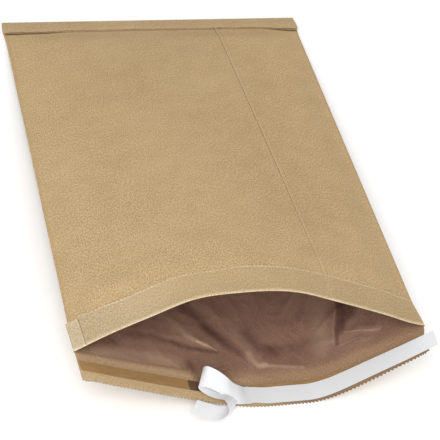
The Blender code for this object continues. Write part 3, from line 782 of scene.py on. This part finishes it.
class Paint:
    """A material with one shader, and short calls to put nodes in front of it."""

    def __init__(self, name, roughness):
        self.made = bpy.data.materials.new(name)
        self.made.use_nodes = True
        self.tree = self.made.node_tree
        self.shader = self.tree.nodes["Principled BSDF"]
        self.shader.inputs["Roughness"].default_value = roughness

    def put(self, target, value):
        """Link a socket to an input, or write a number or a colour there."""
        if isinstance(value, bpy.types.NodeSocket):
            self.tree.links.new(value, target)
        elif value is not None:
            target.default_value = (*value, 1.0) if target.type == "RGBA" else value

    def node(self, kind, **inputs):
        made = self.tree.nodes.new(kind)
        for name, value in inputs.items():
            self.put(made.inputs[name], value)
        return made

    def math(self, what, a, b=None):
        made = self.tree.nodes.new("ShaderNodeMath")
        made.operation = what
        for target, value in zip(made.inputs, (a, b)):
            self.put(target, value)
        return made.outputs[0]

    def times(self, first, *others):
        for other in others:
            first = self.math("MULTIPLY", first, other)
        return first

    def plus(self, a, b):
        return self.math("ADD", a, b)

    def minus(self, a, b):
        return self.math("SUBTRACT", a, b)

    def span(self, value, low, high, out_low=0.0, out_high=1.0, linear=False):
        """From out_low where the value is low to out_high where it is high."""
        made = self.tree.nodes.new("ShaderNodeMapRange")
        made.interpolation_type = "LINEAR" if linear else "SMOOTHSTEP"
        for target, x in zip(made.inputs, (value, low, high, out_low, out_high)):
            self.put(target, x)
        return made.outputs[0]

    def blend(self, factor, a, b, how="MIX"):
        made = self.tree.nodes.new("ShaderNodeMix")
        made.data_type = "RGBA"
        made.blend_type = how
        for target, x in zip((made.inputs[0], made.inputs[6], made.inputs[7]), (factor, a, b)):
            self.put(target, x)
        return made.outputs[2]

    def noise(self, where, scale, detail=3.0, rough=0.55, stretch=None):
        if stretch:
            mapped = self.node("ShaderNodeMapping", Vector=where)
            mapped.inputs["Scale"].default_value = stretch
            where = mapped.outputs[0]
        made = self.node("ShaderNodeTexNoise", Vector=where, Scale=scale, Detail=detail, Roughness=rough)
        return made.outputs[0]

    def uv(self):
        """The place on the flat sheet in metres, as a vector and as its two numbers."""
        node = self.tree.nodes.new("ShaderNodeUVMap")
        node.uv_map = "paper"
        parts = self.node("ShaderNodeSeparateXYZ", Vector=node.outputs[0])
        return node.outputs[0], parts.outputs[0], parts.outputs[1]

    def tone(self):
        node = self.tree.nodes.new("ShaderNodeAttribute")
        node.attribute_name = "tone"
        return node.outputs["Fac"]

    def near(self, value, centre, width):
        """1 on a line and 0 further than width from it."""
        return self.span(self.math("ABSOLUTE", self.minus(value, centre)), 0.0, width, 1.0, 0.0)

    def stroke(self, where, line):
        """Full along a line on the inner ply of the back, and none further than its width."""
        places, width, strength = line
        ends = []
        for x, inside in places:
            d = LENGTH - inside / 1000
            ends.append(Vector((BACK_START + (0.5 - x / 1000 / section(d)[1]) * WIDTH, d, 0.0)))
        nearest = None
        for a, b in zip(ends, ends[1:]):
            run = b - a
            start = self.vector("SUBTRACT", where, tuple(a))
            share = self.math("DIVIDE", self.vector("DOT_PRODUCT", start, tuple(run)), run.length_squared)
            share = self.span(share, 0.0, 1.0, linear=True)
            foot = self.vector("SCALE", tuple(run), share)
            away = self.vector("LENGTH", self.vector("SUBTRACT", start, foot))
            nearest = away if nearest is None else self.math("MINIMUM", nearest, away)
        return self.span(nearest, 0.0, width / 1000, strength, 0.0)

    def vector(self, what, a, b=None):
        made = self.tree.nodes.new("ShaderNodeVectorMath")
        made.operation = what
        self.put(made.inputs[0], a)
        self.put(made.inputs["Scale"] if what == "SCALE" else made.inputs[1], b)
        return made.outputs["Value" if what in ("DOT_PRODUCT", "LENGTH") else "Vector"]

    def bump(self, height, strength, distance):
        made = self.node("ShaderNodeBump", Height=height, Strength=strength, Distance=distance)
        self.put(self.shader.inputs["Normal"], made.outputs[0])

    def colour(self, value):
        self.put(self.shader.inputs["Base Color"], value)
        return self.made


def seam_lines(paint, tint, cross, u, v):
    """The overlap seam: a dotted dark line that fades towards the mouth, with a light edge and a hollow."""
    body = paint.times(paint.math("LESS_THAN", u, FRONT_END), paint.math("LESS_THAN", v, LENGTH - 0.001),
                       paint.math("GREATER_THAN", v, 0.0))
    line = paint.times(paint.near(u, SEAM - 0.0003, 0.0008), body, paint.span(v, 0.25, LENGTH, 1.0, 0.55))
    dotted = paint.times(line, paint.span(cross, 0.35, 0.6, 0.35, 0.72))
    edge = paint.times(paint.near(u, SEAM + 0.0008, 0.0008), body, 0.20)
    hollow = paint.times(paint.near(u, SEAM + 0.0042, 0.0011), body, 0.12)
    for factor, colour in ((dotted, SEAM_DARK), (edge, SEAM_PALE), (hollow, SEAM_HOLLOW)):
        tint = paint.blend(factor, tint, colour)
    return tint


def flap_tones(paint, tint, u, v):
    """A painted shadow: a dark line below the bottom flap's cut, strongest at its ends. The flap itself is a
    little darker.
    """
    ends = paint.math("MAXIMUM", paint.span(u, 0.040, 0.075, 1.0, 0.0), paint.span(u, 0.268, 0.310))
    left = paint.span(u, 0.035, 0.070, 0.0007, -0.0015)
    right = paint.span(u, 0.267, WIDTH, 0.0003, 0.0057)
    past = paint.minus(v, paint.plus(FLAP + 0.0009, paint.plus(left, right)))
    line = paint.times(paint.span(past, -0.0008, 0.0002), paint.span(past, 0.0006, 0.0030, 1.0, 0.0),
                       paint.math("LESS_THAN", u, FRONT_END), paint.span(ends, 0.0, 1.0, 0.36, 0.96))
    tint = paint.blend(line, tint, FLAP_SHADOW)
    flap = paint.blend(1.0, tint, (0.94, 0.955, 0.98), "MULTIPLY")
    return paint.blend(paint.math("LESS_THAN", v, -0.001), tint, flap)


def turned_tones(paint, tint, u, v):
    """The other face of the paper where it shows: the cuff, darkened as painted shade, with its pale tab, and
    the lip, darker to the right as painted shade.
    """
    front = paint.math("LESS_THAN", u, FRONT_END)
    past = paint.math("GREATER_THAN", v, LENGTH)
    # Painted shade on the cuff, a little less at its left end; its tab is paler
    shade = paint.blend(paint.span(u, 0.03, 0.12), (0.78, 0.777, 0.800), (0.767, 0.728, 0.665))
    shade = paint.blend(paint.math("LESS_THAN", u, TAB), shade, (0.89, 0.95, 1.06))
    cuff = paint.blend(1.0, tint, shade, "MULTIPLY")
    tint = paint.blend(paint.times(front, past), tint, cuff)
    # Painted shade on the lip, darker to the right
    right = paint.span(u, BACK_START + 0.60 * WIDTH, BACK_START + 0.28 * WIDTH)
    lip_shade = paint.times(past, right, paint.minus(1.0, front), 0.85)
    return paint.blend(lip_shade, tint, LIP_SHADE)


def kraft(name, base, dark, light, outside):
    """Brown kraft paper: fibres, mottling, small specks, and marks along folds and cuts. Some of it is painted
    light and shade: a highlight on the mouth's fold, a shadow below the flap's cut, and shade on the cuff and
    on the lip.
    """
    paint = Paint(name, 0.78)
    paint.shader.inputs["Specular IOR Level"].default_value = 0.28
    where, u, v = paint.uv()
    fibre = paint.noise(where, 1.0, 2.0, 0.6, (900.0, 530.0, 1.0))
    cross = paint.noise(where, 1.0, 2.0, 0.6, (480.0, 900.0, 1.0))
    cloud = paint.noise(where, 46.0, 4.0, 0.6)
    broad = paint.noise(where, 11.0, 2.0, 0.5)
    specks = paint.noise(where, 1.0, 2.0, 0.5, (900.0, 700.0, 1.0))
    tint = paint.blend(paint.span(fibre, 0.33, 0.69), dark, light)
    tint = paint.blend(0.08, tint, base)
    tint = paint.blend(paint.span(cloud, 0.35, 0.7, 0.0, 0.24), tint, dark)
    tint = paint.blend(paint.span(broad, 0.35, 0.7, 0.0, 0.16), tint, light)
    tint = paint.blend(paint.span(cross, 0.66, 0.78, 0.0, 0.35), tint, light)
    tint = paint.blend(paint.span(specks, 0.70, 0.76, 0.0, 0.45), tint, SPECK)
    if outside:
        tint = seam_lines(paint, tint, cross, u, v)
        tint = flap_tones(paint, tint, u, v)
        side = paint.math("MAXIMUM", paint.near(u, -0.0004, 0.0032), paint.near(u, 0.3180, 0.0032))
        tint = paint.blend(paint.times(side, 0.32), tint, SIDE_BROWN)
    else:
        tint = turned_tones(paint, tint, u, v)
    # The cuts carry a tone: 1 on the pale cut of the cuff and on the round of the mouth's fold, where the pale
    # is a painted highlight, and -1 on the dark cut of the lip
    tint = paint.blend(paint.span(paint.tone(), -0.4, -1.0, 0.0, 0.55), tint, CUT_DARK)
    pale_cut_and_fold_highlight = paint.times(paint.tone(), paint.span(fibre, 0.3, 0.6, 0.35, 1.0), 0.55)
    tint = paint.blend(pale_cut_and_fold_highlight, tint, CUT_PALE)
    grain = paint.plus(fibre, paint.times(cross, 0.6))
    paint.bump(paint.plus(grain, paint.times(cloud, 0.7)), 0.34, 0.0004)
    return paint.colour(tint)


def inner_kraft():
    """The inner ply: brown kraft, darker and softer than the outer one, creased near the mouth. Much of its
    colour is painted light and shade: darker inside the mouth, lighter again deeper in, shadows of the liner
    and its curl on the lip, highlights on the creases and shade beside them.
    """
    paint = Paint("inner_kraft", 0.82)
    paint.shader.inputs["Specular IOR Level"].default_value = 0.22
    where, u, v = paint.uv()
    fibre = paint.noise(where, 1.0, 4.0, 0.7, (900.0, 420.0, 1.0))
    cloud = paint.noise(where, 60.0, 4.0, 0.65)
    broad = paint.noise(where, 17.0, 3.0, 0.5)
    # Painted shade: inside the mouth the ply is darker than on the lip
    inside = paint.blend(paint.span(fibre, 0.3, 0.7), (0.195, 0.100, 0.068), (0.300, 0.172, 0.120))
    inside = paint.blend(paint.span(cloud, 0.35, 0.7, 0.0, 0.30), inside, (0.16, 0.080, 0.056))
    inside = paint.blend(paint.span(broad, 0.38, 0.66, 0.0, 0.30), inside, (0.33, 0.205, 0.137))
    # Painted light: deeper inside, the ply is lighter again
    deep = paint.span(v, LENGTH - 0.110, LENGTH - 0.035, 0.35, 0.0)
    inside = paint.blend(deep, inside, (0.42, 0.25, 0.175))
    band = paint.blend(paint.span(fibre, 0.3, 0.7), (0.27, 0.158, 0.088), (0.38, 0.245, 0.145))
    edge = paint.blend(paint.span(fibre, 0.3, 0.7), (0.44, 0.300, 0.155), (0.64, 0.470, 0.270))
    place = paint.plus(v, paint.times(paint.minus(broad, 0.5), 0.006))
    tint = paint.blend(paint.span(place, LENGTH - 0.010, LENGTH + 0.004), inside, band)
    left = paint.span(u, BACK_START + 0.42 * WIDTH, BACK_START + 0.60 * WIDTH)
    pale = paint.times(left, paint.span(place, LENGTH - 0.0005, LENGTH + 0.004), 0.45)
    tint = paint.blend(pale, tint, edge)
    tint = paint.blend(paint.span(v, LENGTH + 0.0150, LENGTH + 0.0165), tint, edge)
    # Painted shadow of the liner on the right of the lip, past the glue
    shaded = paint.times(paint.minus(1.0, left), paint.span(v, LENGTH + 0.017, LENGTH + 0.019), 0.75)
    tint = paint.blend(shaded, tint, (0.20, 0.115, 0.062))
    wander = paint.node("ShaderNodeTexNoise", Vector=where, Scale=90.0, Detail=2.0)
    moved = paint.vector("SUBTRACT", wander.outputs["Color"], (0.5, 0.5, 0.5))
    moved = paint.vector("ADD", where, paint.vector("SCALE", moved, 0.0035))
    flat = paint.vector("MULTIPLY", moved, (1.0, 1.0, 0.0))
    patchy = paint.span(cloud, 0.3, 0.7, 0.65, 1.15)
    # Painted shade in the hollows beside the folds and in the curl's shadow, and painted highlights on the
    # folds
    for lines, colour in ((PAINTED_SHADES, SHADE_BROWN), (PAINTED_HIGHLIGHTS, HIGHLIGHT_BROWN)):
        for line in lines:
            tint = paint.blend(paint.times(paint.stroke(flat, line), patchy), tint, colour)
    paint.bump(paint.plus(fibre, paint.times(cloud, 1.5)), 0.4, 0.0005)
    return paint.colour(tint)


def glue():
    """Amber glue with streaks, and a painted shadow of the liner's curl at its end beside the curl."""
    paint = Paint("glue_amber", 0.34)
    paint.shader.inputs["Coat Weight"].default_value = 0.35
    paint.shader.inputs["Coat Roughness"].default_value = 0.25
    where, u, _ = paint.uv()
    streak = paint.noise(where, 1.0, 3.0, 0.6, (60.0, 900.0, 1.0))
    cloud = paint.noise(where, 120.0, 3.0, 0.6)
    tint = paint.blend(paint.span(streak, 0.3, 0.7), (0.33, 0.190, 0.075), (0.41, 0.250, 0.110))
    tint = paint.blend(paint.span(cloud, 0.4, 0.7, 0.0, 0.3), tint, (0.29, 0.165, 0.065))
    # Painted shadow of the liner's curl
    ragged = paint.plus(u, paint.times(cloud, 0.002))
    curl_shadow = paint.times(paint.span(ragged, 0.1012, 0.1024), paint.span(u, 0.112, 0.128, 1.0, 0.0), 0.86)
    tint = paint.blend(curl_shadow, tint, (0.095, 0.044, 0.026))
    paint.bump(streak, 0.2, 0.0002)
    return paint.colour(tint)


def liner_paper(name):
    """Coated white paper: nearly even, with faint streaks; its free end is painted lighter, as painted light.
    """
    paint = Paint(name, 0.42)
    paint.shader.inputs["Specular IOR Level"].default_value = 0.4
    where, u, _ = paint.uv()
    streak = paint.noise(where, 1.0, 3.0, 0.6, (90.0, 700.0, 1.0))
    cloud = paint.noise(where, 70.0, 3.0, 0.5)
    cool = (0.70, 0.713, 0.737)
    tint = paint.blend(paint.span(streak, 0.35, 0.75, 0.0, 0.6), (0.735, 0.740, 0.750), cool)
    # Painted light: the free end is lighter
    tint = paint.blend(paint.span(u, 0.232, 0.252), tint, (0.86, 0.86, 0.87))
    tint = paint.blend(paint.span(cloud, 0.4, 0.7, 0.0, 0.25), tint, cool)
    paint.bump(cloud, 0.12, 0.0004)
    return paint.colour(tint)


def fibre_mat():
    """Macerated paper: clumps of grey and brown fibre with pale flakes."""
    paint = Paint("fibre_mat", 0.95)
    where = paint.uv()[0]
    clump = paint.noise(where, 300.0, 5.0, 0.7)
    flake = paint.noise(where, 1.0, 3.0, 0.7, (700.0, 900.0, 1.0))
    tint = paint.blend(paint.span(clump, 0.3, 0.7), (0.22, 0.19, 0.16), (0.46, 0.42, 0.36))
    tint = paint.blend(paint.span(flake, 0.6, 0.75, 0.0, 0.6), tint, (0.62, 0.60, 0.56))
    paint.bump(clump, 0.8, 0.001)
    return paint.colour(tint)


# The envelope
outer_paper = kraft("kraft_outer", (0.50, 0.346, 0.172), (0.345, 0.223, 0.100), (0.628, 0.463, 0.256), True)
turned_paper = kraft("kraft_turned", (0.585, 0.435, 0.245), (0.468, 0.332, 0.173), (0.702, 0.554, 0.343), False)
wrapper = build_wrapper([outer_paper, turned_paper])
inner = build_inner([inner_kraft()])
mat_paint = fibre_mat()
build_pad("front", "front_padding", mat_paint)
build_pad("back", "back_padding", mat_paint)
build_glue(glue())
ribbon, ribbon_length = build_liner([liner_paper("liner_face"), liner_paper("liner_back")])

# Camera, at the place and angles fitted to the photograph. The focal length is in pixels of its width.
IMAGE_WIDTH, FOCAL_LENGTH, SENSOR = 440, 1391.15, 36.0
CAMERA_PLACE = Vector((-0.28822, -0.68323, 0.92072))
YAW, PITCH, ROLL = 0.33716, 0.78613, 0.19069
camera_data = bpy.data.cameras.new("camera")
camera_data.sensor_width = SENSOR
camera_data.lens = FOCAL_LENGTH / IMAGE_WIDTH * SENSOR
camera = bpy.data.objects.new("camera", camera_data)
bpy.context.collection.objects.link(camera)
ahead = Vector((math.sin(YAW) * math.cos(PITCH), math.cos(YAW) * math.cos(PITCH), -math.sin(PITCH)))
level = Vector((math.cos(YAW), -math.sin(YAW), 0.0))
rise = level.cross(ahead)
right_hand = math.cos(ROLL) * level + math.sin(ROLL) * rise
upward = -math.sin(ROLL) * level + math.cos(ROLL) * rise
turn = Matrix((right_hand, upward, -ahead)).transposed().to_4x4()
turn.translation = CAMERA_PLACE + SHIFT
camera.matrix_world = turn
bpy.context.scene.camera = camera

# Floor: white to the camera, a little less bright for the light that it throws back
FLOOR_SIZE, FLOOR_BELOW, FLOOR_BOUNCE = 30.0, 0.0002, 0.72
floor_paint = Paint("floor_white", 0.9)
floor_paint.shader.inputs["Specular IOR Level"].default_value = 0.0
rays = floor_paint.tree.nodes.new("ShaderNodeLightPath")
floor_paint.colour(floor_paint.blend(rays.outputs["Is Camera Ray"], (FLOOR_BOUNCE,) * 3, (1.0, 1.0, 1.0)))
bpy.ops.mesh.primitive_plane_add(size=FLOOR_SIZE, location=(0.0, 0.0, -FLOOR_BELOW))
floor = bpy.context.object
floor.name = "floor"
floor.data.materials.append(floor_paint.made)

# Light: an even white studio, with two lamps on the camera's side
WORLD_STRENGTH, KEY_WATTS, FILL_WATTS = 0.72, 31.0, 12.0
world = bpy.data.worlds.new("studio")
bpy.context.scene.world = world
world.use_nodes = True
background = world.node_tree.nodes["Background"]
background.inputs["Color"].default_value = (1.0, 1.0, 1.0, 1.0)
background.inputs["Strength"].default_value = WORLD_STRENGTH


def area_light(name, place, target, size, watts):
    data = bpy.data.lights.new(name, "AREA")
    data.shape = "DISK"
    data.size = size
    data.energy = watts
    lamp = bpy.data.objects.new(name, data)
    lamp.location = place
    lamp.rotation_euler = (Vector(target) - Vector(place)).to_track_quat("-Z", "Y").to_euler()
    bpy.context.collection.objects.link(lamp)


area_light("key", (-0.7, -1.5, 2.0), (0.0, -0.1, 0.0), 1.5, KEY_WATTS)
area_light("fill", (-0.3, -1.8, 0.72), (0.0, -0.15, 0.03), 1.1, FILL_WATTS)
bpy.context.scene.view_settings.view_transform = "Standard"
